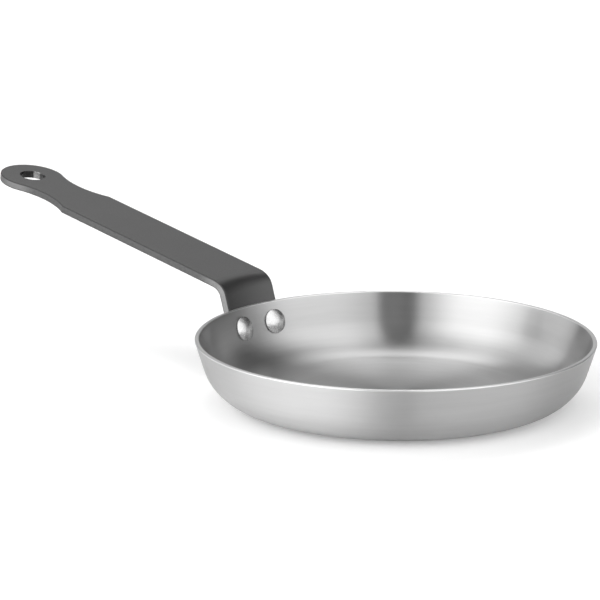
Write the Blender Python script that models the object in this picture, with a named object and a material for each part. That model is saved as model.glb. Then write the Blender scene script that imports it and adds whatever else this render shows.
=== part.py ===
"""Round pancake pan with a flat strip handle riveted to its wall.

The pan is one pressed sheet: a flat base, a rounded corner and a plain sloping wall with an unrolled
lip. The handle is one flat strip. Its flap lies on the outside of the wall, it bends over above the
rim and rises away from the pan, through a waist, to a round head with a hanging hole. Two rivets with
low domed heads inside the pan hold it.

Frame: metres, +Z up, origin at the centre of the base's underside. The handle points along -X.
"""
import math

import bmesh
import bpy
from mathutils import Matrix, Vector

# Pan
RIM_RADIUS = 0.100
PAN_HEIGHT = 0.0315
WALL_SLOPE = math.radians(17.5)
CORNER_RADIUS = 0.0245
SHEET = 0.0022
LIP_ROUND = 0.0006

# Handle strip, measured along the face that is turned to the pan
STRIP_WIDTH = 0.035
STRIP_THICKNESS = 0.004
STRIP_EDGE = 0.0005
FLAP_LENGTH = 0.021
FLAP_CORNER = 0.004
RISE_ABOVE_RIM = 0.0073
BEND_RADIUS = 0.011
ARM_SLOPE = math.radians(10.9)
ARM_FULL_WIDTH = 0.1163
WAIST_DISTANCE = 0.0198
WAIST_WIDTH = 0.0257
HEAD_RADIUS = 0.0177
HANG_HOLE_RADIUS = 0.00675
HANG_HOLE_ROUND = 0.0006

# Rivets
RIVET_SPACING = 0.0228
RIVET_DROP = 0.0113
RIVET_SHANK_RADIUS = 0.003
RIVET_HEAD_RADIUS = 0.00625
RIVET_HEAD_HEIGHT = 0.0021
RIVET_TAIL_RADIUS = 0.0055
RIVET_TAIL_HEIGHT = 0.0019
RIVET_EDGE_HEIGHT = 0.0005

# Gap between neighbouring pieces
CLEARANCE = 0.0003

# How far the round of a cutter runs past the face it starts from, so that the two never coincide
CUT_PAST_FACE = 0.0001

# Fineness of the curves
TURN_STEPS = 96
CORNER_STEPS = 12
LIP_STEPS = 4
STRIP_COLUMNS = 8
BEND_STEPS = 10
FLAP_STEPS = 5
FLAP_CORNER_STEPS = 3
OUTLINE_STEPS = 10
RIVET_STEPS = 32
DOME_STEPS = 6

# Colours
STEEL = (0.60, 0.59, 0.58, 1.0)
DARK_FINISH = (0.045, 0.045, 0.047, 1.0)

# Lengths and places that follow from the sizes above. WALL_TOP_RADIUS is where the wall's outside,
# drawn straight on, reaches the lip's level: the lip's rounding is what ends at RIM_RADIUS.
WALL_TOP_RADIUS = RIM_RADIUS + LIP_ROUND * ((1 + math.sin(WALL_SLOPE)) / math.cos(WALL_SLOPE) - 1)
SHEET_ACROSS = SHEET / math.cos(WALL_SLOPE)
BEND_TURN = math.pi / 2 - WALL_SLOPE - ARM_SLOPE
BEND_END = RISE_ABOVE_RIM + BEND_RADIUS * BEND_TURN
WAIST_HALF = WAIST_WIDTH / 2
STRIP_HALF = STRIP_WIDTH / 2


def remove_everything():
    for thing in list(bpy.data.objects):
        bpy.data.objects.remove(thing, do_unlink=True)


def metal(name, colour, metallic, roughness):
    material = bpy.data.materials.new(name)
    material.use_nodes = True
    shader = material.node_tree.nodes["Principled BSDF"]
    shader.inputs["Base Color"].default_value = colour
    shader.inputs["Metallic"].default_value = metallic
    shader.inputs["Roughness"].default_value = roughness
    return material


def add_object(name, mesh_maker, material=None):
    """Object with the closed mesh that mesh_maker is left holding, its faces turned outwards."""
    bmesh.ops.recalc_face_normals(mesh_maker, faces=mesh_maker.faces)
    mesh = bpy.data.meshes.new(name)
    mesh_maker.to_mesh(mesh)
    mesh_maker.free()
    mesh.shade_smooth()
    mesh.set_sharp_from_angle(angle=math.radians(35))
    thing = bpy.data.objects.new(name, mesh)
    bpy.context.scene.collection.objects.link(thing)
    if material:
        mesh.materials.append(material)
    return thing


def arc(centre, radius, start, end, steps):
    """Points on an arc in a plane, from angle start to angle end, both ends included."""
    points = []
    for step in range(steps + 1):
        angle = start + (end - start) * step / steps
        points.append((centre[0] + radius * math.cos(angle), centre[1] + radius * math.sin(angle)))
    return points


def turned(name, profile, steps, material=None):
    """Solid turned about Z from (radius, height) points. Ends off the axis are closed by a flat disc."""
    maker = bmesh.new()
    points = [maker.verts.new((radius, 0.0, height)) for radius, height in profile]
    lines = [maker.edges.new(pair) for pair in zip(points, points[1:])]
    bmesh.ops.spin(maker, geom=points + lines, cent=(0, 0, 0), axis=(0, 0, 1),
                   angle=2 * math.pi, steps=steps)
    bmesh.ops.remove_doubles(maker, verts=maker.verts, dist=1e-6)
    open_edges = [edge for edge in maker.edges if edge.is_boundary]
    bmesh.ops.holes_fill(maker, edges=open_edges)
    return add_object(name, maker, material)


def cut(body, cutter):
    cutter.hide_render = True
    cutter.display_type = "WIRE"
    boolean = body.modifiers.new("cut by " + cutter.name, "BOOLEAN")
    boolean.operation = "DIFFERENCE"
    boolean.solver = "EXACT"
    boolean.object = cutter


# The pan

def corner_centre():
    """(radius, height) of the point that the corner's inner and outer arcs share as their centre."""
    wall_height = PAN_HEIGHT - CORNER_RADIUS * (1 - math.sin(WALL_SLOPE))
    tangent_radius = WALL_TOP_RADIUS - wall_height * math.tan(WALL_SLOPE)
    return tangent_radius - CORNER_RADIUS * math.cos(WALL_SLOPE), CORNER_RADIUS


def pan_profile():
    """From the base's edge round the corner and up the wall, over the lip and back down inside."""
    centre = corner_centre()
    outer_corner = arc(centre, CORNER_RADIUS, -math.pi / 2, -WALL_SLOPE, CORNER_STEPS)
    inner_corner = arc(centre, CORNER_RADIUS - SHEET, -WALL_SLOPE, -math.pi / 2, CORNER_STEPS)
    round_height = PAN_HEIGHT - LIP_ROUND
    outer_round = arc((RIM_RADIUS - LIP_ROUND, round_height), LIP_ROUND,
                      -WALL_SLOPE, math.pi / 2, LIP_STEPS)
    set_back = LIP_ROUND * (1 - math.sin(WALL_SLOPE)) / math.cos(WALL_SLOPE)
    inner_round = arc((WALL_TOP_RADIUS - SHEET_ACROSS + set_back, round_height), LIP_ROUND,
                      math.pi / 2, math.pi - WALL_SLOPE, LIP_STEPS)
    return outer_corner + outer_round + inner_round + inner_corner


def wall_radius_at(drop):
    """Radius of the wall's outside, at a distance down the wall from the rim."""
    return WALL_TOP_RADIUS - drop * math.sin(WALL_SLOPE)


def make_pan(steel):
    return turned("pan_body", pan_profile(), TURN_STEPS, steel)


# The handle

def strip_half_width(along):
    """Half width of the flap and the bend, at a distance along the strip from the rim's level."""
    from_end = along + FLAP_LENGTH
    if from_end >= FLAP_CORNER:
        return STRIP_HALF
    rise = FLAP_CORNER - from_end
    return STRIP_HALF - FLAP_CORNER + math.sqrt(FLAP_CORNER ** 2 - rise ** 2)


def strip_curl(along):
    """Curvature across the strip: the wall's own on the flap, fading to none through the bend."""
    wall_radius = wall_radius_at(max(-along, 0.0))
    through = (along - RISE_ABOVE_RIM) / (BEND_END - RISE_ABOVE_RIM)
    through = min(max(through, 0.0), 1.0)
    fade = 1 - through * through * (3 - 2 * through)
    return fade * math.cos(WALL_SLOPE) / wall_radius


def path_frame(along):
    """Point on the strip's pan-facing centre line, and its direction away from the pan's side.

    Both are (outward, up) pairs. The second is square to the strip, from that face into the metal.
    """
    leaning = math.pi / 2 - WALL_SLOPE
    start = Vector((WALL_TOP_RADIUS + CLEARANCE / math.cos(WALL_SLOPE), PAN_HEIGHT))
    rising = Vector((math.cos(leaning), math.sin(leaning)))
    if along <= RISE_ABOVE_RIM:
        return start + rising * along, Vector((rising.y, -rising.x))
    bend_start = start + rising * RISE_ABOVE_RIM
    bend_centre = bend_start + Vector((rising.y, -rising.x)) * BEND_RADIUS
    turned_by = min((along - RISE_ABOVE_RIM) / BEND_RADIUS, BEND_TURN)
    heading = leaning - turned_by
    inward = Vector((math.sin(heading), -math.cos(heading)))
    direction = Vector((math.cos(heading), math.sin(heading)))
    return bend_centre - inward * BEND_RADIUS + direction * max(along - BEND_END, 0.0), inward


def strip_point(along, across, depth):
    """Place in the pan's frame of a point of the flat strip, once it is bent."""
    spot, inward = path_frame(along)
    curl = max(strip_curl(along), 1e-6)
    swing = across * curl
    sunk = depth * math.cos(swing) - (1 - math.cos(swing)) / curl
    aside = depth * math.sin(swing) + math.sin(swing) / curl
    spot = spot + inward * sunk
    return Vector((-spot.x, aside, spot.y))


def strip_rows():
    """Distances along the strip at which the flap and the bend get a row of points."""
    rows = []
    for step in range(FLAP_CORNER_STEPS):
        rows.append(-FLAP_LENGTH + FLAP_CORNER * step / FLAP_CORNER_STEPS)
    for step in range(FLAP_STEPS):
        rows.append(-FLAP_LENGTH + FLAP_CORNER + (FLAP_LENGTH - FLAP_CORNER) * step / FLAP_STEPS)
    rows.append(0.0)
    for step in range(BEND_STEPS + 1):
        rows.append(RISE_ABOVE_RIM + (BEND_END - RISE_ABOVE_RIM) * step / BEND_STEPS)
    return rows


def waist_and_head():
    """Where the waist's arc and the head lie, and their sizes.

    The waist's arc leaves the arm's edge at ARM_FULL_WIDTH, is narrowest WAIST_DISTANCE further on
    and runs smoothly into the head's round.
    """
    narrowing = STRIP_HALF - WAIST_HALF
    waist_radius = (WAIST_DISTANCE ** 2 + narrowing ** 2) / (2 * narrowing)
    waist = (BEND_END + ARM_FULL_WIDTH + WAIST_DISTANCE, WAIST_HALF + waist_radius)
    reach = math.sqrt((waist_radius + HEAD_RADIUS) ** 2 - waist[1] ** 2)
    return waist, waist_radius, (waist[0] + reach, 0.0)


def arm_outline():
    """(along, across) points of the arm's edge on one side, from the waist's start to the tip."""
    waist, waist_radius, head = waist_and_head()
    start = -math.pi + math.acos(WAIST_DISTANCE / waist_radius)
    towards_head = math.atan2(head[1] - waist[1], head[0] - waist[0])
    edge = arc(waist, waist_radius, start, towards_head, OUTLINE_STEPS)
    tip = arc(head, HEAD_RADIUS, math.pi + towards_head, 0.0, OUTLINE_STEPS)
    return edge + tip[1:]


def make_strip(dark_finish):
    """The strip as two skins, a grid of faces on flap and bend and one flat face on the arm,
    joined all round by a band of side faces."""
    maker = bmesh.new()
    rows = strip_rows()
    outline = arm_outline()
    rims = []
    for depth in (0.0, STRIP_THICKNESS):
        grid = []
        for along in rows:
            half = strip_half_width(along)
            places = [half * (2 * column / STRIP_COLUMNS - 1) for column in range(STRIP_COLUMNS + 1)]
            grid.append([maker.verts.new(strip_point(along, across, depth)) for across in places])
        for lower, upper in zip(grid, grid[1:]):
            for column in range(STRIP_COLUMNS):
                maker.faces.new((lower[column], lower[column + 1], upper[column + 1], upper[column]))
        right = [maker.verts.new(strip_point(along, across, depth)) for along, across in outline]
        left = [maker.verts.new(strip_point(along, -across, depth)) for along, across in outline[:-1]]
        around_arm = right + left[::-1]
        maker.faces.new(grid[-1] + around_arm)
        right_side = [row[-1] for row in grid]
        left_side = [row[0] for row in grid]
        rims.append(right_side + around_arm + left_side[::-1] + grid[0][1:-1])
    near, far = rims
    for here in range(len(near)):
        following = (here + 1) % len(near)
        maker.faces.new((near[here], near[following], far[following], far[here]))
    strip = add_object("handle", maker, dark_finish)
    bevel = strip.modifiers.new("softened edges", "BEVEL")
    bevel.width = STRIP_EDGE
    bevel.segments = 2
    bevel.limit_method = "ANGLE"
    bevel.angle_limit = math.radians(40)
    return strip


def hanging_hole_cutter():
    """Spool through the head, square to the arm, that flares at both faces to round the hole's edges."""
    head = waist_and_head()[2]
    middle = strip_point(head[0], 0.0, STRIP_THICKNESS / 2)
    inward = path_frame(head[0])[1]
    flare_radius = HANG_HOLE_RADIUS + HANG_HOLE_ROUND
    flare_start = STRIP_THICKNESS / 2 - HANG_HOLE_ROUND + CUT_PAST_FACE
    upper = arc((flare_radius, flare_start), HANG_HOLE_ROUND, math.pi, math.pi / 2, LIP_STEPS)
    lower = arc((flare_radius, -flare_start), HANG_HOLE_ROUND, -math.pi / 2, -math.pi, LIP_STEPS)
    reach = 2 * STRIP_THICKNESS
    profile = [(0.0, -reach), (flare_radius, -reach)] + lower + upper + [(flare_radius, reach), (0.0, reach)]
    cutter = turned("hanging_hole", profile, RIVET_STEPS)
    axis = Vector((-inward.x, 0.0, inward.y))
    cutter.matrix_world = Matrix.Translation(middle) @ axis.to_track_quat("Z", "Y").to_matrix().to_4x4()
    return cutter


# The rivets

def rivet_place(side):
    """Matrix that puts a rivet on the wall's outside, its +Z square to the wall into the pan."""
    inner_radius = wall_radius_at(RIVET_DROP) - SHEET * math.cos(WALL_SLOPE)
    turn = side * math.asin(RIVET_SPACING / 2 / inner_radius)
    height = PAN_HEIGHT - RIVET_DROP * math.cos(WALL_SLOPE)
    around = Matrix.Rotation(math.pi - turn, 4, "Z")
    out = Matrix.Translation((wall_radius_at(RIVET_DROP), 0.0, height))
    inwards = Vector((-math.cos(WALL_SLOPE), 0.0, math.sin(WALL_SLOPE)))
    return around @ out @ inwards.to_track_quat("Z", "Y").to_matrix().to_4x4()


def dome(radius, edge_height, height, base, way):
    """(radius, height) points of a low dome from its foot to its top. way is 1 for up, -1 for down."""
    crown = height - edge_height
    ball = (radius ** 2 + crown ** 2) / (2 * crown)
    opening = math.asin(radius / ball)
    points = [(radius, base)]
    for step in range(DOME_STEPS + 1):
        angle = opening * (1 - step / DOME_STEPS)
        points.append((ball * math.sin(angle), base + way * (height - ball * (1 - math.cos(angle)))))
    points[-1] = (0.0, base + way * height)
    return points


def rivet_profile():
    """From the top of the head inside the pan to the end of the tail outside."""
    wall_curve = (wall_radius_at(RIVET_DROP) - SHEET_ACROSS) / math.cos(WALL_SLOPE)
    hollow = wall_curve - math.sqrt(wall_curve ** 2 - RIVET_HEAD_RADIUS ** 2)
    head_foot = SHEET + hollow + CLEARANCE
    tail_foot = -(CLEARANCE + STRIP_THICKNESS + CLEARANCE)
    head = dome(RIVET_HEAD_RADIUS, RIVET_EDGE_HEIGHT, RIVET_HEAD_HEIGHT, head_foot, 1)
    tail = dome(RIVET_TAIL_RADIUS, RIVET_EDGE_HEIGHT, RIVET_TAIL_HEIGHT, tail_foot, -1)
    shank = [(RIVET_SHANK_RADIUS, head_foot), (RIVET_SHANK_RADIUS, tail_foot)]
    return head[::-1] + shank + tail


def make_rivet(name, side, steel):
    rivet = turned(name, rivet_profile(), RIVET_STEPS, steel)
    rivet.matrix_world = rivet_place(side)
    return rivet


def rivet_hole_cutter(name, side):
    radius = RIVET_SHANK_RADIUS + CLEARANCE
    reach = 2 * (SHEET + STRIP_THICKNESS)
    cutter = turned(name, [(0.0, -reach), (radius, -reach), (radius, reach), (0.0, reach)], RIVET_STEPS)
    cutter.matrix_world = rivet_place(side)
    return cutter


def main():
    remove_everything()
    pan = make_pan(metal("pan_steel", STEEL, 1.0, 0.32))
    handle = make_strip(metal("handle_finish", DARK_FINISH, 0.0, 0.45))
    rivet_steel = metal("rivet_steel", STEEL, 1.0, 0.28)
    for name, side in (("rivet_left", -1), ("rivet_right", 1)):
        make_rivet(name, side, rivet_steel)
        hole = rivet_hole_cutter(name + "_hole", side)
        cut(pan, hole)
        cut(handle, hole)
    cut(handle, hanging_hole_cutter())


main()
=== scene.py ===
"""Looks of the pancake pan: a spun and brushed steel dish with a dark strip handle on two rivets.

Metres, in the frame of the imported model: +Z up, origin under the middle of the base, handle along -X.
"""

import math

import bmesh
import bpy
from mathutils import Matrix, Vector


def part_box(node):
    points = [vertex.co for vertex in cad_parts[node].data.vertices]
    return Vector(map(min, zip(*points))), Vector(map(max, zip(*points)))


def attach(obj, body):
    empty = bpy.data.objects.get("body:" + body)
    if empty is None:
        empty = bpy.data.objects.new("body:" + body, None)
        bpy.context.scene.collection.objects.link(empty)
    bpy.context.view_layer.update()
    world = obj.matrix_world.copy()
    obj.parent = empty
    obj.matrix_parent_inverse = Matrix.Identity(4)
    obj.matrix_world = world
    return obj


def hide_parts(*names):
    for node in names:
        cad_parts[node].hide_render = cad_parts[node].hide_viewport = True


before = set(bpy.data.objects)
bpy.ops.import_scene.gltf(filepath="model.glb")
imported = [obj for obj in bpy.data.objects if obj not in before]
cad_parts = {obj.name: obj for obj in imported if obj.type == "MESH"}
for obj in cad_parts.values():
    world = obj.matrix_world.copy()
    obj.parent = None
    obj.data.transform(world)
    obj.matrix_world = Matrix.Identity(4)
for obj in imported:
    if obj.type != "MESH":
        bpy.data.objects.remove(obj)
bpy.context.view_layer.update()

# Sizes read from the frame
pan_low, pan_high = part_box("pan_body")
RIM_RADIUS = (pan_high.y - pan_low.y) / 2
PAN_HEIGHT = pan_high.z

# Pan
WALL_SLOPE = math.radians(17.5)
CORNER_RADIUS = 0.0245
SHEET = 0.0022
LIP_ROUND = 0.0006

# Handle strip, measured along the face that is turned to the pan
STRIP_WIDTH = 0.035
STRIP_THICKNESS = 0.004
STRIP_EDGE = 0.00055
FLAP_LENGTH = 0.021
FLAP_CORNER = 0.004
SEAT_GAP = 0.0003
RISE_ABOVE_RIM = 0.0073
BEND_RADIUS = 0.011
ARM_SLOPE = math.radians(10.9)
ARM_FULL_WIDTH = 0.1163
WAIST_DISTANCE = 0.0198
WAIST_WIDTH = 0.0257
HEAD_RADIUS = 0.0177
HANG_HOLE_RADIUS = 0.00675
HANG_HOLE_ROUND = 0.0006
CUT_PAST_FACE = 0.00002

# Rivets
RIVET_SPACING = 0.0228
RIVET_DROP = 0.0113
RIVET_SHANK_RADIUS = 0.003
RIVET_HOLE_GAP = 0.0003
RIVET_HEAD_RADIUS = 0.00625
RIVET_HEAD_HEIGHT = 0.0021
RIVET_TAIL_RADIUS = 0.0055
RIVET_TAIL_HEIGHT = 0.0019
RIVET_EDGE_HEIGHT = 0.0006
RIVET_SEAT_GAP = 0.0001

# Lengths that follow from the sizes above
SHEET_ACROSS = SHEET / math.cos(WALL_SLOPE)
WALL_TOP_RADIUS = RIM_RADIUS + LIP_ROUND * ((1 + math.sin(WALL_SLOPE)) / math.cos(WALL_SLOPE) - 1)
BEND_TURN = math.pi / 2 - WALL_SLOPE - ARM_SLOPE
BEND_END = RISE_ABOVE_RIM + BEND_RADIUS * BEND_TURN
WAIST_HALF = WAIST_WIDTH / 2
STRIP_HALF = STRIP_WIDTH / 2

# Fineness of the curves
PAN_STEPS = 240
BASE_STEPS = 12
CORNER_STEPS = 40
WALL_STEPS = 6
LIP_STEPS = 8
STRIP_COLUMNS = 16
FLAP_CORNER_STEPS = 4
FLAP_STEPS = 10
RISE_STEPS = 4
BEND_STEPS = 14
OUTLINE_STEPS = 28
STRIP_EDGE_STEPS = 3
HANG_HOLE_STEPS = 72
HANG_HOLE_ROUND_STEPS = 7
RIVET_STEPS = 64
RIVET_HOLE_STEPS = 48
DOME_STEPS = 24

# Points closer together than this become one
SAME_POINT = 1e-6
# Curvature that stands for a flat strip, so that nothing is divided by zero
LEAST_CURL = 1e-6
# A face leans in a direction when its normal has more than this of it
LEANING = 0.01
# The strip's edges that turn by more than the first angle are rounded. Edges that turn by more than the
# other two are shaded as sharp ones.
ROUNDED_ANGLE = math.radians(40)
SHARP_STRIP_ANGLE = math.radians(50)
SHARP_RIVET_ANGLE = math.radians(60)
# How much the largest faces count when the strip's shading is evened out
LARGE_FACE_WEIGHT = 100

# Numbers of the materials in the pan's list and in the strip's. Number 0 is the pan's inside, and the
# strip's broad faces.
OUTSIDE_STEEL = 1
FLOOR_STEEL = 2
LIP_STEEL = 3
SIDE_FINISH = 1
EDGE_FINISH = 2
HOLE_STEEL = 3

# A noise's usual lowest, middle and highest value
NOISE_LOW = 0.3
NOISE_MIDDLE = 0.5
NOISE_HIGH = 0.7

# Steel of the pan. The floor's own steel ends at the first radius, and so does the change of roughness
# from the middle outwards. The change of tone runs on, to the second one in the rounded corner.
FLOOR_STEEL_RADIUS = 0.062
TONE_RADIUS = 0.088
# The inside catches the light as if it was dished: out to this radius, by this depth
DISH_RADIUS = 0.105
DISH_DEPTH = 0.0062
# Towards the axis the turning marks get shorter, down to this radius
MARKS_RADIUS = 0.05
TONE_VARIATION = 0.08
ROUGHNESS_VARIATION = 0.06
# A quarter turn, so that the smear runs across the turning marks
SMEAR_TURN = 0.25

# Dark finish of the strip: how far its tone varies, as a share of it, how far its roughness does, and
# its gloss
CLOUDING = 0.15
SATIN_VARIATION = 0.04
COAT_GLOSS = 0.95

# Steel in the hanging hole, by the distance from its middle, diagonally towards +X and +Y: painted shade on
# one side, then a painted reflection in a stripe that begins and is full, then starts to fade and is dull
SHEEN_BEGINS = 0.0
SHEEN_FULL = 0.0008
SHEEN_FADES = 0.0034
SHEEN_DULL = 0.0042
PAINTED_SHADE_TONE = 0.035
PAINTED_SHEEN_TONE = 0.30
SHEEN_LOSS = 0.20
DRILLED_VARIATION = 0.15

# Coat on the strip's sides, along X: from where to where it gets paler on the flap, where a painted
# highlight brightens it round the tip, and where that highlight falls off at the tip's end, and by how much
FLAP_PALING = (-0.122, -0.110)
FLAP_PALER = 0.11
TIP_HIGHLIGHT_SPAN = (-0.2515, -0.2620)
TIP_HIGHLIGHT = 0.10
HIGHLIGHT_FALLOFF_SPAN = (-0.2680, -0.2770)
HIGHLIGHT_FALLOFF = 0.09

# Camera: where it stands, the way it looks, its long lens and the nearest that it sees
CAMERA_PLACE = Vector((0.95419, -1.08828, 0.40219))
CAMERA_AZIMUTH = math.radians(43.131)
CAMERA_ELEVATION = math.radians(13.667)
CAMERA_ROLL = math.radians(0.2236)
CAMERA_LENS = 180.0
CAMERA_NEAREST = 0.01

# Studio floor: its size, how far below the pan it lies, its colour, and the white of its own that brings
# it up to the backdrop's for the camera
STUDIO_FLOOR_SIZE = 12.0
STUDIO_FLOOR_DROP = 0.0002
STUDIO_FLOOR_COLOUR = (0.80, 0.80, 0.80, 1.0)
FLOOR_GLOW = 0.266
# The floor's own white in the metal's mirror: all over, and more of it on the camera's left, where a
# distance leftwards and one towards the camera fade it in, outside the shade of the pan's base
GLOW_IN_METAL = 0.03
GLOW_ON_LEFT = 0.54
LEFT_BEGINS = -0.010
LEFT_FULL = 0.060
NEAR_BEGINS = -0.020
NEAR_FULL = 0.075
BASE_SHADE = 0.083
BASE_CLEAR = 0.104

# Sides as the camera sees them
LEFT = -1
RIGHT = 1

# Light from the sides: side of the camera, strength, then the angles round from the camera's direction at
# which it starts, is full, starts to fade and is gone, then the heights between which it fades at its top.
# All angles are in degrees. None above 180 is reached, so the last two lights meet behind the pan.
SIDE_LIGHTS = (
    # Softbox on the left, with a brighter middle
    (LEFT, 1.10, 11.0, 20.0, 134.0, 141.0, 23.0, 73.0),
    (LEFT, 1.70, 14.0, 45.0, 59.0, 112.0, 23.0, 73.0),
    # Taller softbox on the right, with a slightly brighter middle
    (RIGHT, 1.05, 6.0, 13.0, 68.0, 114.0, 70.0, 80.0),
    (RIGHT, 0.50, 8.0, 41.0, 68.0, 114.0, 70.0, 80.0),
    # Faint light behind the camera
    (LEFT, 0.16, -8.0, 0.0, 4.0, 13.0, 23.0, 73.0),
    # Dark screen on the right, which takes away some of the room's light
    (RIGHT, -0.10, 112.0, 120.0, 135.0, 158.0, 40.0, 70.0),
    # Soft light behind the pan
    (LEFT, 0.38, 145.0, 165.0, 190.0, 200.0, 35.0, 55.0),
    (RIGHT, 0.38, 145.0, 165.0, 190.0, 200.0, 35.0, 55.0),
)
# Overhead panels: strength, then how far beyond the pan, as the camera sees it, the panel starts, is full,
# starts to fade and is gone, then the same going rightwards. Distances are shares of the panel's height.
OVERHEAD_PANELS = (
    (4.25, 0.25, 0.45, 0.55, 1.15, -0.70, -0.05, 0.00, 0.60),
    (0.62, -0.40, -0.15, 0.00, 0.22, -1.20, -0.60, -0.20, -0.08),
)
# Directions that rise less than this count as rising by it, so that nothing is divided by zero
LEAST_RISE = 0.03
ROOM_LIGHT = 0.20
WHITE = (1.0, 1.0, 1.0, 1.0)

# Low lamp: its angle to the camera's left, distance and height, width across and power
LAMP_LEFT = math.radians(114.0)
LAMP_DISTANCE = 0.27
LAMP_HEIGHT = 0.10
LAMP_SIZE = 0.12
LAMP_POWER = 0.09


# Meshes

def arc(centre, radius, start, end, steps):
    """Points on an arc in a plane, from angle start to angle end, both ends included."""
    points = []
    for step in range(steps + 1):
        angle = start + (end - start) * step / steps
        points.append((centre[0] + radius * math.cos(angle), centre[1] + radius * math.sin(angle)))
    return points


def spaced(first, last, steps):
    """Points from first up to, but without, last."""
    return [tuple(a + (b - a) * step / steps for a, b in zip(first, last)) for step in range(steps)]


def facing(direction, axis="Z"):
    """Matrix that turns an object's axis to a direction."""
    return direction.to_track_quat(axis, "Y").to_matrix().to_4x4()


def add_piece(name, maker, materials=()):
    """Object with the mesh that maker is left holding, smooth, with its faces turned outwards."""
    bmesh.ops.recalc_face_normals(maker, faces=maker.faces)
    mesh = bpy.data.meshes.new(name)
    maker.to_mesh(mesh)
    maker.free()
    mesh.shade_smooth()
    piece = bpy.data.objects.new(name, mesh)
    bpy.context.scene.collection.objects.link(piece)
    for material in materials:
        mesh.materials.append(material)
    return piece


def turned(name, profile, steps, materials=()):
    """Solid turned about Z from (radius, height) points that start and end on the axis."""
    maker = bmesh.new()
    points = [maker.verts.new((radius, 0.0, height)) for radius, height in profile]
    lines = [maker.edges.new(pair) for pair in zip(points, points[1:])]
    bmesh.ops.spin(maker, geom=points + lines, cent=(0, 0, 0), axis=(0, 0, 1),
                   angle=2 * math.pi, steps=steps)
    bmesh.ops.remove_doubles(maker, verts=maker.verts, dist=SAME_POINT)
    return add_piece(name, maker, materials)


def cut(piece, cutter):
    """Cuts the cutter out of the piece for good and throws the cutter away."""
    boolean = piece.modifiers.new("cut", "BOOLEAN")
    boolean.operation = "DIFFERENCE"
    boolean.solver = "EXACT"
    boolean.object = cutter
    apply_modifiers(piece)
    bpy.data.objects.remove(cutter, do_unlink=True)


def apply_modifiers(piece):
    """Gives the piece the mesh that its modifiers make, and removes them."""
    bpy.context.view_layer.update()
    graph = bpy.context.evaluated_depsgraph_get()
    baked = bpy.data.meshes.new_from_object(piece.evaluated_get(graph))
    old = piece.data
    piece.modifiers.clear()
    piece.data = baked
    bpy.data.meshes.remove(old)


# Pan

def wall_radius_at(drop):
    """Radius of the wall's outside, at a distance down the wall from the rim."""
    return WALL_TOP_RADIUS - drop * math.sin(WALL_SLOPE)


def pan_profile():
    """From under the base's middle out, round the corner, up the wall, over the lip and back inside."""
    wall_height = PAN_HEIGHT - CORNER_RADIUS * (1 - math.sin(WALL_SLOPE))
    corner = (WALL_TOP_RADIUS - wall_height * math.tan(WALL_SLOPE) - CORNER_RADIUS * math.cos(WALL_SLOPE),
              CORNER_RADIUS)
    outer_corner = arc(corner, CORNER_RADIUS, -math.pi / 2, -WALL_SLOPE, CORNER_STEPS)
    inner_corner = arc(corner, CORNER_RADIUS - SHEET, -WALL_SLOPE, -math.pi / 2, CORNER_STEPS)
    round_height = PAN_HEIGHT - LIP_ROUND
    outer_round = arc((RIM_RADIUS - LIP_ROUND, round_height), LIP_ROUND,
                      -WALL_SLOPE, math.pi / 2, LIP_STEPS)
    set_back = LIP_ROUND * (1 - math.sin(WALL_SLOPE)) / math.cos(WALL_SLOPE)
    inner_round = arc((WALL_TOP_RADIUS - SHEET_ACROSS + set_back, round_height), LIP_ROUND,
                      math.pi / 2, math.pi - WALL_SLOPE, LIP_STEPS)
    base = spaced((0.0, 0.0), outer_corner[0], BASE_STEPS)
    outer_wall = spaced(outer_corner[-1], outer_round[0], WALL_STEPS)
    inner_wall = spaced(inner_round[-1], inner_corner[0], WALL_STEPS)
    floor = spaced(inner_corner[-1], (0.0, SHEET), BASE_STEPS) + [(0.0, SHEET)]
    return (base + outer_corner[:-1] + outer_wall + outer_round + inner_round[:-1] + inner_wall
            + inner_corner[:-1] + floor)


def pan_steels():
    """The pan's materials, in the order of their numbers."""
    inside = turned_steel("pan_inside", tones=(0.32, 0.48), roughnesses=(0.29, 0.29), smear=1.0,
                          dish_depth=DISH_DEPTH)
    outside = turned_steel("pan_outside", tones=(0.52, 0.52), roughnesses=(0.38, 0.38), smear=1.0)
    floor = turned_steel("pan_floor", tones=(0.32, 0.48), roughnesses=(0.28, 0.37), smear=0.85,
                         dish_depth=DISH_DEPTH)
    # The lip's steel is lighter than the rest: besides its own roughness and smear, partly a painted
    # highlight along the rim
    lip = turned_steel("pan_lip", tones=(0.68, 0.68), roughnesses=(0.36, 0.36), smear=0.6)
    return [inside, outside, floor, lip]


def make_pan():
    """The dish with its two rivet holes. Inside, outside, floor and lip each have a steel of their own."""
    pan = turned("pan_dish", pan_profile(), PAN_STEPS, pan_steels())
    for face in pan.data.polygons:
        outwards = face.center.x * face.normal.x + face.center.y * face.normal.y
        if face.center.z > PAN_HEIGHT - LIP_ROUND:
            face.material_index = LIP_STEEL
        elif face.normal.z < -LEANING or outwards > 0:
            face.material_index = OUTSIDE_STEEL
        elif face.center.xy.length < FLOOR_STEEL_RADIUS:
            face.material_index = FLOOR_STEEL
    for side in (LEFT, RIGHT):
        cut(pan, rivet_hole_cutter(side))
    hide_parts("pan_body")
    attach(pan, "root")


# Handle

def strip_half_width(along):
    """Half width of the flap and the bend, at a distance along the strip from the rim's level."""
    from_end = along + FLAP_LENGTH
    if from_end >= FLAP_CORNER:
        return STRIP_HALF
    rise = FLAP_CORNER - from_end
    return STRIP_HALF - FLAP_CORNER + math.sqrt(FLAP_CORNER ** 2 - rise ** 2)


def strip_curl(along):
    """Curvature across the strip: the wall's own on the flap, fading to none through the bend."""
    through = (along - RISE_ABOVE_RIM) / (BEND_END - RISE_ABOVE_RIM)
    through = min(max(through, 0.0), 1.0)
    fade = 1 - through * through * (3 - 2 * through)
    return fade * math.cos(WALL_SLOPE) / wall_radius_at(max(-along, 0.0))


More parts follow.
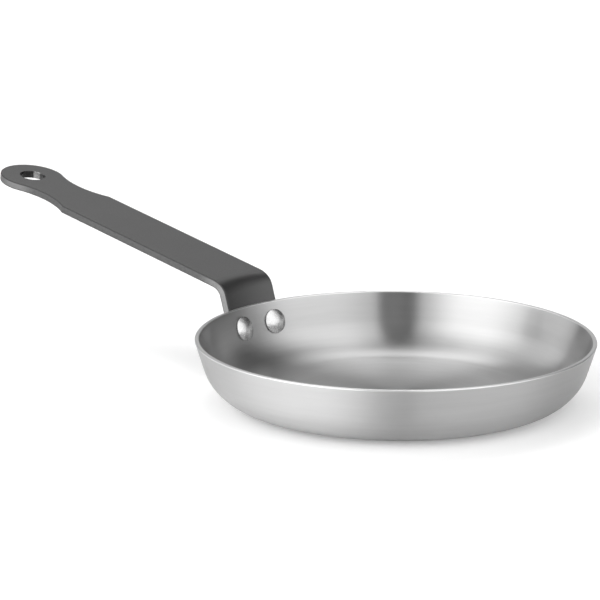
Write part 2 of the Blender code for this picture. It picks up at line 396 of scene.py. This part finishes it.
def path_frame(along):
    """(outward, up) point on the strip's pan-facing centre line, and the way from there into the metal."""
    leaning = math.pi / 2 - WALL_SLOPE
    start = Vector((WALL_TOP_RADIUS + SEAT_GAP / math.cos(WALL_SLOPE), PAN_HEIGHT))
    rising = Vector((math.cos(leaning), math.sin(leaning)))
    if along <= RISE_ABOVE_RIM:
        return start + rising * along, Vector((rising.y, -rising.x))
    bend_centre = start + rising * RISE_ABOVE_RIM + Vector((rising.y, -rising.x)) * BEND_RADIUS
    heading = leaning - min((along - RISE_ABOVE_RIM) / BEND_RADIUS, BEND_TURN)
    inward = Vector((math.sin(heading), -math.cos(heading)))
    direction = Vector((math.cos(heading), math.sin(heading)))
    return bend_centre - inward * BEND_RADIUS + direction * max(along - BEND_END, 0.0), inward


def strip_point(along, across, depth):
    """Place in the pan's frame of a point of the flat strip, once it is bent."""
    spot, inward = path_frame(along)
    curl = max(strip_curl(along), LEAST_CURL)
    swing = across * curl
    sunk = depth * math.cos(swing) - (1 - math.cos(swing)) / curl
    aside = depth * math.sin(swing) + math.sin(swing) / curl
    spot = spot + inward * sunk
    return Vector((-spot.x, aside, spot.y))


def strip_rows():
    """Distances along the strip at which the flap and the bend get a row of points."""
    flap = FLAP_LENGTH - FLAP_CORNER
    bend = BEND_END - RISE_ABOVE_RIM
    rows = [-FLAP_LENGTH + FLAP_CORNER * step / FLAP_CORNER_STEPS for step in range(FLAP_CORNER_STEPS)]
    rows += [-FLAP_LENGTH + FLAP_CORNER + flap * step / FLAP_STEPS for step in range(FLAP_STEPS)]
    rows += [RISE_ABOVE_RIM * step / RISE_STEPS for step in range(RISE_STEPS)]
    rows += [RISE_ABOVE_RIM + bend * step / BEND_STEPS for step in range(BEND_STEPS + 1)]
    return rows


def waist_and_head():
    """The waist's arc: its centre and radius. It narrows the arm and runs smoothly into the head,
    whose centre comes last. Both centres are (along, across)."""
    narrowing = STRIP_HALF - WAIST_HALF
    waist_radius = (WAIST_DISTANCE ** 2 + narrowing ** 2) / (2 * narrowing)
    waist = (BEND_END + ARM_FULL_WIDTH + WAIST_DISTANCE, WAIST_HALF + waist_radius)
    reach = math.sqrt((waist_radius + HEAD_RADIUS) ** 2 - waist[1] ** 2)
    return waist, waist_radius, (waist[0] + reach, 0.0)


def arm_outline():
    """(along, across) points of the arm's edge on one side, from the waist's start to the tip."""
    waist, waist_radius, head = waist_and_head()
    start = -math.pi + math.acos(WAIST_DISTANCE / waist_radius)
    towards_head = math.atan2(head[1] - waist[1], head[0] - waist[0])
    edge = arc(waist, waist_radius, start, towards_head, OUTLINE_STEPS)
    tip = arc(head, HEAD_RADIUS, math.pi + towards_head, 0.0, OUTLINE_STEPS)
    return edge + tip[1:]


def strip_skin(maker, depth):
    """One broad side of the strip, at a depth into its metal: a grid of faces on flap and bend and one
    flat face on the arm. Returns the points all round its rim."""
    grid = []
    for along in strip_rows():
        half = strip_half_width(along)
        places = [half * (2 * column / STRIP_COLUMNS - 1) for column in range(STRIP_COLUMNS + 1)]
        grid.append([maker.verts.new(strip_point(along, across, depth)) for across in places])
    for lower, upper in zip(grid, grid[1:]):
        for column in range(STRIP_COLUMNS):
            maker.faces.new((lower[column], lower[column + 1], upper[column + 1], upper[column]))
    outline = arm_outline()
    right = [maker.verts.new(strip_point(along, across, depth)) for along, across in outline]
    left = [maker.verts.new(strip_point(along, -across, depth)) for along, across in outline[:-1]]
    around_arm = right + left[::-1]
    maker.faces.new(grid[-1] + around_arm)
    return [row[-1] for row in grid] + around_arm + [row[0] for row in reversed(grid)] + grid[0][1:-1]


def strip_mesh():
    """The strip as two skins, joined all round by a band of side faces."""
    maker = bmesh.new()
    near = strip_skin(maker, 0.0)
    far = strip_skin(maker, STRIP_THICKNESS)
    for here in range(len(near)):
        following = (here + 1) % len(near)
        side = maker.faces.new((near[here], near[following], far[following], far[here]))
        side.material_index = SIDE_FINISH
    return maker


def hanging_hole():
    """Middle of the hanging hole, and the way from there down through the arm."""
    head = waist_and_head()[2]
    middle = strip_point(head[0], 0.0, STRIP_THICKNESS / 2)
    inward = path_frame(head[0])[1]
    return middle, Vector((-inward.x, 0.0, inward.y))


def hanging_hole_cutter():
    """Spool through the head, square to the arm, that flares at both faces to round the hole's edges."""
    middle, axis = hanging_hole()
    flare_radius = HANG_HOLE_RADIUS + HANG_HOLE_ROUND
    flare_start = STRIP_THICKNESS / 2 - HANG_HOLE_ROUND + CUT_PAST_FACE
    upper = arc((flare_radius, flare_start), HANG_HOLE_ROUND,
                math.pi, math.pi / 2, HANG_HOLE_ROUND_STEPS)
    lower = arc((flare_radius, -flare_start), HANG_HOLE_ROUND,
                -math.pi / 2, -math.pi, HANG_HOLE_ROUND_STEPS)
    reach = 2 * STRIP_THICKNESS
    bottom = [(0.0, -reach), (flare_radius, -reach)]
    top = [(flare_radius, reach), (0.0, reach)]
    cutter = turned("hanging_hole", bottom + lower + upper + top, HANG_HOLE_STEPS)
    cutter.matrix_world = Matrix.Translation(middle) @ facing(axis)
    return cutter


def bare_hanging_hole(handle):
    """Gives the hanging hole's inside its bare steel. The arm's broad faces don't lean sideways, so they
    keep their finish."""
    middle = hanging_hole()[0]
    reach = HANG_HOLE_RADIUS + STRIP_THICKNESS / 2
    for face in handle.data.polygons:
        if (face.center - middle).length < reach and abs(face.normal.y) > LEANING:
            face.material_index = HOLE_STEEL


def make_handle():
    """The strip, with its edges rounded and its three holes cut."""
    face = dark_finish("handle_face", tone=0.012, roughness=0.34)
    edge = dark_finish("handle_edge", tone=0.006, roughness=0.60)
    handle = add_piece("strip_handle", strip_mesh(), [face, side_finish(), edge, hole_steel()])
    bevel = handle.modifiers.new("softened edges", "BEVEL")
    bevel.width = STRIP_EDGE
    bevel.segments = STRIP_EDGE_STEPS
    bevel.limit_method = "ANGLE"
    bevel.angle_limit = ROUNDED_ANGLE
    bevel.material = EDGE_FINISH
    apply_modifiers(handle)
    for side in (LEFT, RIGHT):
        cut(handle, rivet_hole_cutter(side))
    cut(handle, hanging_hole_cutter())
    bare_hanging_hole(handle)
    weighted = handle.modifiers.new("even shading", "WEIGHTED_NORMAL")
    weighted.weight = LARGE_FACE_WEIGHT
    weighted.keep_sharp = True
    handle.data.set_sharp_from_angle(angle=SHARP_STRIP_ANGLE)
    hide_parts("handle")
    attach(handle, "root")


# Rivets

def rivet_place(side):
    """Matrix that puts a rivet on the wall's outside, its +Z square to the wall into the pan."""
    inner_radius = wall_radius_at(RIVET_DROP) - SHEET * math.cos(WALL_SLOPE)
    turn = side * math.asin(RIVET_SPACING / 2 / inner_radius)
    height = PAN_HEIGHT - RIVET_DROP * math.cos(WALL_SLOPE)
    around = Matrix.Rotation(math.pi - turn, 4, "Z")
    out = Matrix.Translation((wall_radius_at(RIVET_DROP), 0.0, height))
    inwards = Vector((-math.cos(WALL_SLOPE), 0.0, math.sin(WALL_SLOPE)))
    return around @ out @ facing(inwards)


def rivet_hole_cutter(side):
    """Plain round bar through wall and strip, where a rivet sits."""
    radius = RIVET_SHANK_RADIUS + RIVET_HOLE_GAP
    reach = 2 * (SHEET + STRIP_THICKNESS)
    profile = [(0.0, -reach), (radius, -reach), (radius, reach), (0.0, reach)]
    cutter = turned("rivet_hole", profile, RIVET_HOLE_STEPS)
    cutter.matrix_world = rivet_place(side)
    return cutter


def dome(radius, height, base, way):
    """(radius, height) points of a low dome from its foot to its top. way is 1 for up, -1 for down."""
    crown = height - RIVET_EDGE_HEIGHT
    ball = (radius ** 2 + crown ** 2) / (2 * crown)
    opening = math.asin(radius / ball)
    points = [(radius, base)]
    for step in range(DOME_STEPS):
        angle = opening * (1 - step / DOME_STEPS)
        points.append((ball * math.sin(angle), base + way * (height - ball * (1 - math.cos(angle)))))
    points.append((0.0, base + way * height))
    return points


def rivet_profile():
    """From the top of the head inside the pan to the end of the tail outside."""
    wall_curve = (wall_radius_at(RIVET_DROP) - SHEET_ACROSS) / math.cos(WALL_SLOPE)
    hollow = wall_curve - math.sqrt(wall_curve ** 2 - RIVET_HEAD_RADIUS ** 2)
    head_foot = SHEET + hollow + RIVET_SEAT_GAP
    tail_foot = -(SEAT_GAP + STRIP_THICKNESS + RIVET_SEAT_GAP)
    head = dome(RIVET_HEAD_RADIUS, RIVET_HEAD_HEIGHT, head_foot, 1)
    tail = dome(RIVET_TAIL_RADIUS, RIVET_TAIL_HEIGHT, tail_foot, -1)
    shank = [(RIVET_SHANK_RADIUS, head_foot), (RIVET_SHANK_RADIUS, tail_foot)]
    return head[::-1] + shank + tail


def make_rivet(name, node, side, steel):
    """One rivet as formed: domed head, shank and domed tail."""
    rivet = turned(name, rivet_profile(), RIVET_STEPS, [steel])
    rivet.data.set_sharp_from_angle(angle=SHARP_RIVET_ANGLE)
    rivet.matrix_world = rivet_place(side)
    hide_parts(node)
    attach(rivet, "root")


# Materials

class Nodes:
    """Short hand for building a material's or the world's nodes."""

    def __init__(self, tree):
        self.tree = tree

    def add(self, kind, **settings):
        """A new node with its settings."""
        node = self.tree.nodes.new(kind)
        for key, value in settings.items():
            setattr(node, key, value)
        return node

    def link(self, source, target):
        """Links one node's output to another one's socket."""
        self.tree.links.new(source, target)

    def fill(self, socket, value):
        """Links a socket to another node's output, or sets it to a number."""
        if isinstance(value, bpy.types.NodeSocket):
            self.link(value, socket)
        else:
            socket.default_value = value

    def place(self):
        """Each point's place on the object."""
        return self.add("ShaderNodeTexCoord").outputs["Object"]

    def parts(self, vector):
        """A vector's x, y and z."""
        node = self.add("ShaderNodeSeparateXYZ")
        self.link(vector, node.inputs[0])
        return tuple(node.outputs)

    def math(self, operation, *values):
        """The result of an operation on one to three values."""
        node = self.add("ShaderNodeMath", operation=operation)
        for socket, value in zip(node.inputs, values):
            self.fill(socket, value)
        return node.outputs[0]

    def remap(self, interpolation, value, begins, ends, first, last):
        """Goes from first to last while the value goes from begins to ends, and no further."""
        node = self.add("ShaderNodeMapRange", interpolation_type=interpolation)
        for socket, number in zip(node.inputs, (value, begins, ends, first, last)):
            self.fill(socket, number)
        return node.outputs[0]

    def ease(self, value, begins, ends, first, last):
        """The same, starting and ending gently."""
        return self.remap("SMOOTHSTEP", value, begins, ends, first, last)

    def between(self, noise, low, high):
        """A number that runs from low to high as the noise does."""
        return self.remap("LINEAR", noise, NOISE_LOW, NOISE_HIGH, low, high)

    def varied(self, value, noise, amount):
        """A value that the noise moves up and down, by half the amount at most."""
        return self.math("MULTIPLY_ADD", self.math("SUBTRACT", noise, NOISE_MIDDLE), amount, value)

    def along(self, vector, direction):
        """How far a place lies in a direction."""
        node = self.add("ShaderNodeVectorMath", operation="DOT_PRODUCT")
        self.link(vector, node.inputs[0])
        node.inputs[1].default_value = direction
        return node.outputs["Value"]

    def length(self, vector):
        """A vector's length."""
        node = self.add("ShaderNodeVectorMath", operation="LENGTH")
        self.link(vector, node.inputs[0])
        return node.outputs["Value"]

    def noise(self, vector, scale, detail):
        """Soft noise, the finer the greater its scale."""
        node = self.add("ShaderNodeTexNoise")
        self.link(vector, node.inputs["Vector"])
        node.inputs["Scale"].default_value = scale
        node.inputs["Detail"].default_value = detail
        return node.outputs["Fac"]

    def bump(self, height, strength, distance, normal=None):
        """Normals of a surface that seems to stand out with the height, by the distance at 1."""
        node = self.add("ShaderNodeBump")
        node.inputs["Strength"].default_value = strength
        node.inputs["Distance"].default_value = distance
        self.link(height, node.inputs["Height"])
        if normal:
            self.link(normal, node.inputs["Normal"])
        return node.outputs["Normal"]

    def grey(self, value):
        """A colour with the same value in red, green and blue."""
        node = self.add("ShaderNodeCombineColor")
        for socket in node.inputs[:3]:
            self.fill(socket, value)
        return node.outputs[0]


def new_material(name, metallic):
    """A material, its nodes and its shader."""
    material = bpy.data.materials.new(name)
    material.use_nodes = True
    shader = material.node_tree.nodes["Principled BSDF"]
    shader.inputs["Metallic"].default_value = metallic
    return material, Nodes(material.node_tree), shader


def dress(nodes, shader, tone, roughness, normal):
    """Gives a shader its grey tone, its roughness and its unevenness."""
    nodes.link(nodes.grey(tone), shader.inputs["Base Color"])
    nodes.link(roughness, shader.inputs["Roughness"])
    nodes.link(normal, shader.inputs["Normal"])


def around_axis(nodes):
    """Place among turning marks round the Z axis: two numbers along the marks and one across them,
    and the distance from the axis."""
    x, y, z = nodes.parts(nodes.place())
    squares = nodes.math("ADD", nodes.math("MULTIPLY", x, x), nodes.math("MULTIPLY", y, y))
    radius = nodes.math("SQRT", squares)
    divider = nodes.math("MAXIMUM", radius, MARKS_RADIUS)
    across = nodes.math("ADD", radius, z)
    return (nodes.math("DIVIDE", x, divider), nodes.math("DIVIDE", y, divider), across), radius


def turning_marks(nodes, turning, around, across):
    """Noise of the turning marks, with its scale around the axis and its much finer one across them."""
    joined = nodes.add("ShaderNodeCombineXYZ")
    for socket, number, scale in zip(joined.inputs, turning, (around, around, across)):
        nodes.fill(socket, nodes.math("MULTIPLY", number, scale))
    return nodes.noise(joined.outputs[0], scale=1.0, detail=3.0)


def turned_steel(name, tones, roughnesses, smear, dish_depth=0.0):
    """Spun steel: its turning marks run round the axis and smear what it mirrors up and down the wall.
    Tones and roughnesses are pairs: in the middle, and from TONE_RADIUS or FLOOR_STEEL_RADIUS outwards."""
    material, nodes, shader = new_material(name, metallic=1.0)
    turning, radius = around_axis(nodes)
    broad = turning_marks(nodes, turning, around=2.0, across=260.0)
    fine = turning_marks(nodes, turning, around=6.0, across=2200.0)
    tone = nodes.ease(radius, 0.0, TONE_RADIUS, *tones)
    roughness = nodes.ease(radius, 0.0, FLOOR_STEEL_RADIUS, *roughnesses)
    dish = nodes.ease(nodes.math("MULTIPLY", radius, radius), 0.0, DISH_RADIUS ** 2, 0.0, 1.0)
    hollow = nodes.bump(dish, strength=1.0, distance=dish_depth)
    dress(nodes, shader,
          tone=nodes.varied(tone, broad, TONE_VARIATION),
          roughness=nodes.varied(roughness, broad, ROUGHNESS_VARIATION),
          normal=nodes.bump(fine, strength=0.15, distance=0.00002, normal=hollow))
    shader.inputs["Anisotropic"].default_value = smear
    shader.inputs["Anisotropic Rotation"].default_value = SMEAR_TURN
    tangent = nodes.add("ShaderNodeTangent", direction_type="RADIAL", axis="Z")
    nodes.link(tangent.outputs[0], shader.inputs["Tangent"])
    return material


def rivet_steel():
    """Plain polished steel with the faint unevenness of a hammered head."""
    material, nodes, shader = new_material("rivet_metal", metallic=1.0)
    place = nodes.place()
    dents = nodes.noise(place, scale=450.0, detail=2.0)
    grain = nodes.noise(place, scale=2500.0, detail=2.0)
    dress(nodes, shader,
          tone=nodes.between(grain, low=0.54, high=0.64),
          roughness=nodes.between(dents, low=0.20, high=0.32),
          normal=nodes.bump(dents, strength=0.4, distance=0.0003))
    return material


def dark_finish(name, tone, roughness):
    """Dark grey satin coat on the strip's broad faces and on its edges."""
    material, nodes, shader = new_material(name, metallic=0.0)
    place = nodes.place()
    cloud = nodes.noise(place, scale=60.0, detail=4.0)
    grain = nodes.noise(place, scale=1800.0, detail=3.0)
    dress(nodes, shader,
          tone=nodes.between(cloud, tone * (1 - CLOUDING), tone * (1 + CLOUDING)),
          roughness=nodes.between(grain, roughness - SATIN_VARIATION, roughness + SATIN_VARIATION),
          normal=nodes.bump(grain, strength=0.25, distance=0.00004))
    shader.inputs["Specular IOR Level"].default_value = COAT_GLOSS
    return material


def hole_steel():
    """Drilled steel inside the hanging hole: painted shade on one side, and a painted reflection in a
    bright stripe beside it.
    """
    material, nodes, shader = new_material("hole_metal", metallic=1.0)
    place = nodes.place()
    grain = nodes.noise(place, scale=1500.0, detail=3.0)
    x, y = nodes.parts(place)[:2]
    diagonal = nodes.math("MULTIPLY", nodes.math("ADD", x, y), math.sqrt(0.5))
    from_middle = nodes.math("SUBTRACT", diagonal, hanging_hole()[0].x * math.sqrt(0.5))
    # Painted shade on one side of the hole, then a painted reflection in a stripe that fades to a duller
    # grey
    shade_to_sheen = nodes.ease(from_middle, SHEEN_BEGINS, SHEEN_FULL, PAINTED_SHADE_TONE, PAINTED_SHEEN_TONE)
    sheen_loss = nodes.ease(from_middle, SHEEN_FADES, SHEEN_DULL, 0.0, SHEEN_LOSS)
    drilling = nodes.between(grain, 1 - DRILLED_VARIATION, 1 + DRILLED_VARIATION)
    dress(nodes, shader,
          tone=nodes.math("MULTIPLY", nodes.math("SUBTRACT", shade_to_sheen, sheen_loss), drilling),
          roughness=nodes.between(grain, low=0.22, high=0.32),
          normal=nodes.bump(grain, strength=0.2, distance=0.00004))
    return material


def side_finish():
    """The strip's cut sides: a slight coat over bare steel, lighter than the faces; paler on the flap, and
    with a painted highlight round the tip that falls off again at its end."""
    material, nodes, shader = new_material("handle_side", metallic=1.0)
    place = nodes.place()
    grain = nodes.noise(place, scale=900.0, detail=3.0)
    x = nodes.parts(place)[0]
    # Paler on the flap, and a painted highlight round the tip that falls off again at its end
    flap = nodes.ease(x, *FLAP_PALING, 0.0, FLAP_PALER)
    tip = nodes.ease(x, *TIP_HIGHLIGHT_SPAN, 0.0, TIP_HIGHLIGHT)
    end = nodes.ease(x, *HIGHLIGHT_FALLOFF_SPAN, 0.0, HIGHLIGHT_FALLOFF)
    paler_and_painted_highlight = nodes.math("SUBTRACT", nodes.math("ADD", flap, tip), end)
    dress(nodes, shader,
          tone=nodes.math("ADD", nodes.between(grain, low=0.12, high=0.155), paler_and_painted_highlight),
          roughness=nodes.between(grain, low=0.40, high=0.50),
          normal=nodes.bump(grain, strength=0.2, distance=0.00004))
    return material


# Studio

def cleared_nodes(owner):
    """Nodes of a material or a world, with nothing in them yet."""
    owner.use_nodes = True
    owner.node_tree.nodes.clear()
    return Nodes(owner.node_tree)


def floor_glow(nodes):
    """Strength of the floor's own white: one for the camera's rays, and one for those that metal mirrors,
    which see more of it at front left."""
    place = nodes.place()
    towards = Vector((math.sin(CAMERA_AZIMUTH), -math.cos(CAMERA_AZIMUTH), 0.0))
    leftwards = Vector((-math.cos(CAMERA_AZIMUTH), -math.sin(CAMERA_AZIMUTH), 0.0))
    on_left = nodes.ease(nodes.along(place, leftwards), LEFT_BEGINS, LEFT_FULL, 0.0, GLOW_ON_LEFT)
    near = nodes.ease(nodes.along(place, towards), NEAR_BEGINS, NEAR_FULL, 0.0, 1.0)
    clear = nodes.ease(nodes.length(place), BASE_SHADE, BASE_CLEAR, 0.0, 1.0)
    in_metal = nodes.math("MULTIPLY_ADD", nodes.math("MULTIPLY", on_left, near), clear, GLOW_IN_METAL)
    path = nodes.add("ShaderNodeLightPath")
    direct = nodes.math("MAXIMUM", path.outputs["Is Camera Ray"], path.outputs["Is Transmission Ray"])
    mirrored = nodes.math("MULTIPLY", path.outputs["Is Glossy Ray"], in_metal)
    return nodes.math("MULTIPLY_ADD", direct, FLOOR_GLOW, mirrored)


def make_floor():
    """Pale floor. The lights leave it a little short of white, and its own white adds the rest for the
    camera, so that it meets the backdrop without a line and keeps the pan's shadow."""
    maker = bmesh.new()
    bmesh.ops.create_grid(maker, x_segments=1, y_segments=1, size=STUDIO_FLOOR_SIZE / 2)
    bmesh.ops.translate(maker, verts=maker.verts, vec=(0, 0, -STUDIO_FLOOR_DROP))
    material = bpy.data.materials.new("studio_floor")
    nodes = cleared_nodes(material)
    cloth = nodes.add("ShaderNodeBsdfDiffuse")
    cloth.inputs["Color"].default_value = STUDIO_FLOOR_COLOUR
    glow = nodes.add("ShaderNodeEmission")
    nodes.link(floor_glow(nodes), glow.inputs["Strength"])
    both = nodes.add("ShaderNodeAddShader")
    nodes.link(cloth.outputs[0], both.inputs[0])
    nodes.link(glow.outputs[0], both.inputs[1])
    output = nodes.add("ShaderNodeOutputMaterial")
    nodes.link(both.outputs[0], output.inputs["Surface"])
    floor = add_piece("studio_floor", maker, [material])


def side_light(nodes, sideways, height, strength, begins, full, fades, gone, top_full, top_gone):
    """Strength of a side light in each direction, soft on all its edges."""
    begin = nodes.ease(sideways, math.radians(begins), math.radians(full), 0.0, strength)
    fade = nodes.ease(sideways, math.radians(fades), math.radians(gone), 1.0, 0.0)
    top = nodes.ease(height, math.radians(top_full), math.radians(top_gone), 1.0, 0.0)
    return nodes.math("MULTIPLY", nodes.math("MULTIPLY", begin, fade), top)


def overhead_light(nodes, beyond, rightwards, strength, near, full, fades, gone, left, left_full,
                   right_full, right):
    """Strength of an overhead panel in each direction, soft on all its edges."""
    begin = nodes.ease(beyond, near, full, 0.0, strength)
    end = nodes.ease(beyond, fades, gone, 1.0, 0.0)
    left_edge = nodes.ease(rightwards, left, left_full, 0.0, 1.0)
    right_edge = nodes.ease(rightwards, right_full, right, 1.0, 0.0)
    across = nodes.math("MULTIPLY", left_edge, right_edge)
    return nodes.math("MULTIPLY", nodes.math("MULTIPLY", begin, end), across)


def studio_light(nodes):
    """Strength of the studio's light in each direction: the room's, the panels' and the side lights'."""
    turn = nodes.add("ShaderNodeVectorRotate", rotation_type="Z_AXIS")
    nodes.link(nodes.add("ShaderNodeTexCoord").outputs["Generated"], turn.inputs["Vector"])
    turn.inputs["Angle"].default_value = math.pi / 2 - CAMERA_AZIMUTH
    towards, rightwards, up = nodes.parts(turn.outputs[0])
    left_angle = nodes.math("ARCTAN2", nodes.math("MULTIPLY", rightwards, -1.0), towards)
    right_angle = nodes.math("MULTIPLY", left_angle, -1.0)
    height = nodes.math("ARCSINE", up)
    rise = nodes.math("MAXIMUM", up, LEAST_RISE)
    beyond = nodes.math("DIVIDE", nodes.math("MULTIPLY", towards, -1.0), rise)
    aside = nodes.math("DIVIDE", rightwards, rise)
    light = ROOM_LIGHT
    for shape in OVERHEAD_PANELS:
        light = nodes.math("ADD", light, overhead_light(nodes, beyond, aside, *shape))
    for side, *shape in SIDE_LIGHTS:
        sideways = left_angle if side == LEFT else right_angle
        light = nodes.math("ADD", light, side_light(nodes, sideways, height, *shape))
    return light


def make_studio():
    """Soft light all round: wide softboxes on either side of the camera with a dim gap between them, soft
    light behind the pan and two panels overhead. The camera sees plain white."""
    world = bpy.data.worlds.new("studio")
    bpy.context.scene.world = world
    nodes = cleared_nodes(world)
    path = nodes.add("ShaderNodeLightPath")
    strength = nodes.math("MAXIMUM", studio_light(nodes), path.outputs["Is Camera Ray"])
    background = nodes.add("ShaderNodeBackground")
    background.inputs["Color"].default_value = WHITE
    nodes.link(strength, background.inputs["Strength"])
    output = nodes.add("ShaderNodeOutputWorld")
    nodes.link(background.outputs[0], output.inputs["Surface"])


def make_lamp():
    """Low lamp by the handle's end, on the camera's left, that brightens the floor there. Metal does not
    mirror it."""
    data = bpy.data.lights.new("lamp", "AREA")
    data.shape = "DISK"
    data.size = LAMP_SIZE
    data.energy = LAMP_POWER
    lamp = bpy.data.objects.new("lamp", data)
    bpy.context.scene.collection.objects.link(lamp)
    azimuth = CAMERA_AZIMUTH - LAMP_LEFT
    place = Vector((math.sin(azimuth) * LAMP_DISTANCE, -math.cos(azimuth) * LAMP_DISTANCE, LAMP_HEIGHT))
    lamp.matrix_world = Matrix.Translation(place) @ facing(place)
    lamp.visible_camera = False
    lamp.visible_glossy = False


def make_camera():
    """The photo's view, through a long lens."""
    data = bpy.data.cameras.new("camera")
    data.lens = CAMERA_LENS
    data.clip_start = CAMERA_NEAREST
    camera = bpy.data.objects.new("camera", data)
    bpy.context.scene.collection.objects.link(camera)
    level = math.cos(CAMERA_ELEVATION)
    back = Vector((math.sin(CAMERA_AZIMUTH) * level, -math.cos(CAMERA_AZIMUTH) * level,
                   math.sin(CAMERA_ELEVATION)))
    roll = Matrix.Rotation(CAMERA_ROLL, 4, "Z")
    camera.matrix_world = Matrix.Translation(CAMERA_PLACE) @ facing(-back, "-Z") @ roll
    bpy.context.scene.camera = camera


def main():
    """The camera, the studio and the four pieces."""
    bpy.context.scene.view_settings.view_transform = "Standard"
    make_camera()
    make_studio()
    make_lamp()
    make_floor()
    make_pan()
    make_handle()
    steel = rivet_steel()
    make_rivet("rivet_l", "rivet_left", LEFT, steel)
    make_rivet("rivet_r", "rivet_right", RIGHT, steel)


main()
